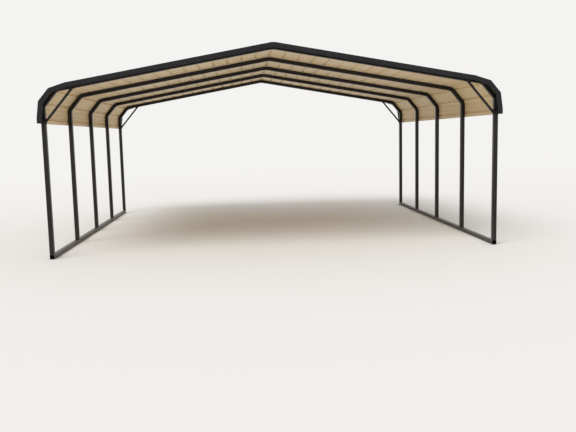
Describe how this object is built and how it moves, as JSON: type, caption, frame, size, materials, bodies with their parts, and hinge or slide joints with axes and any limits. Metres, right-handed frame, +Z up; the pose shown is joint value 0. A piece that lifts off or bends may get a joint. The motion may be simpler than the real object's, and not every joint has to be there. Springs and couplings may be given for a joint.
{
  "type": "steel carport",
  "caption": "Open-sided metal carport: bent square-tube frames on base rails carry a ribbed sheet roof that rounds the eaves, with end trims and corner braces.",
  "frame": {"origin": "on the floor, at the centre of the carport's plan", "axes": "+X across the carport to the right as seen from the front, +Y from the front end to the back, +Z up"},
  "size_m": [6.752, 6.4038, 3.0618],
  "materials": {
    "frame_tube": "roll-coated galvanised square tube, near-black bronze, semi-gloss",
    "roof_sheet": "coil-coated ribbed steel sheet, satin, stone-coloured outside with a tan backer coat underneath",
    "trim_sheet": "folded coil-coated steel trim, black, semi-gloss"
  },
  "bodies": {
    "root": {"base_rail_left": "frame_tube", "leg_left_1": "frame_tube", "bow_left_1": "frame_tube", "leg_left_2": "frame_tube", "bow_left_2": "frame_tube", "leg_left_3": "frame_tube", "bow_left_3": "frame_tube", "leg_left_4": "frame_tube", "bow_left_4": "frame_tube", "leg_left_5": "frame_tube", "bow_left_5": "frame_tube", "brace_front_left": "frame_tube", "brace_back_left": "frame_tube", "roof_panel_left_1": "roof_sheet", "roof_panel_left_2": "roof_sheet", "roof_panel_left_3": "roof_sheet", "roof_panel_left_4": "roof_sheet", "end_trim_front_left": "trim_sheet", "end_trim_back_left": "trim_sheet", "eave_trim_left": "trim_sheet", "base_rail_right": "frame_tube", "leg_right_1": "frame_tube", "bow_right_1": "frame_tube", "leg_right_2": "frame_tube", "bow_right_2": "frame_tube", "leg_right_3": "frame_tube", "bow_right_3": "frame_tube", "leg_right_4": "frame_tube", "bow_right_4": "frame_tube", "leg_right_5": "frame_tube", "bow_right_5": "frame_tube", "brace_front_right": "frame_tube", "brace_back_right": "frame_tube", "roof_panel_right_1": "roof_sheet", "roof_panel_right_2": "roof_sheet", "roof_panel_right_3": "roof_sheet", "roof_panel_right_4": "roof_sheet", "end_trim_front_right": "trim_sheet", "end_trim_back_right": "trim_sheet", "eave_trim_right": "trim_sheet"}
  },
  "joints": []
}
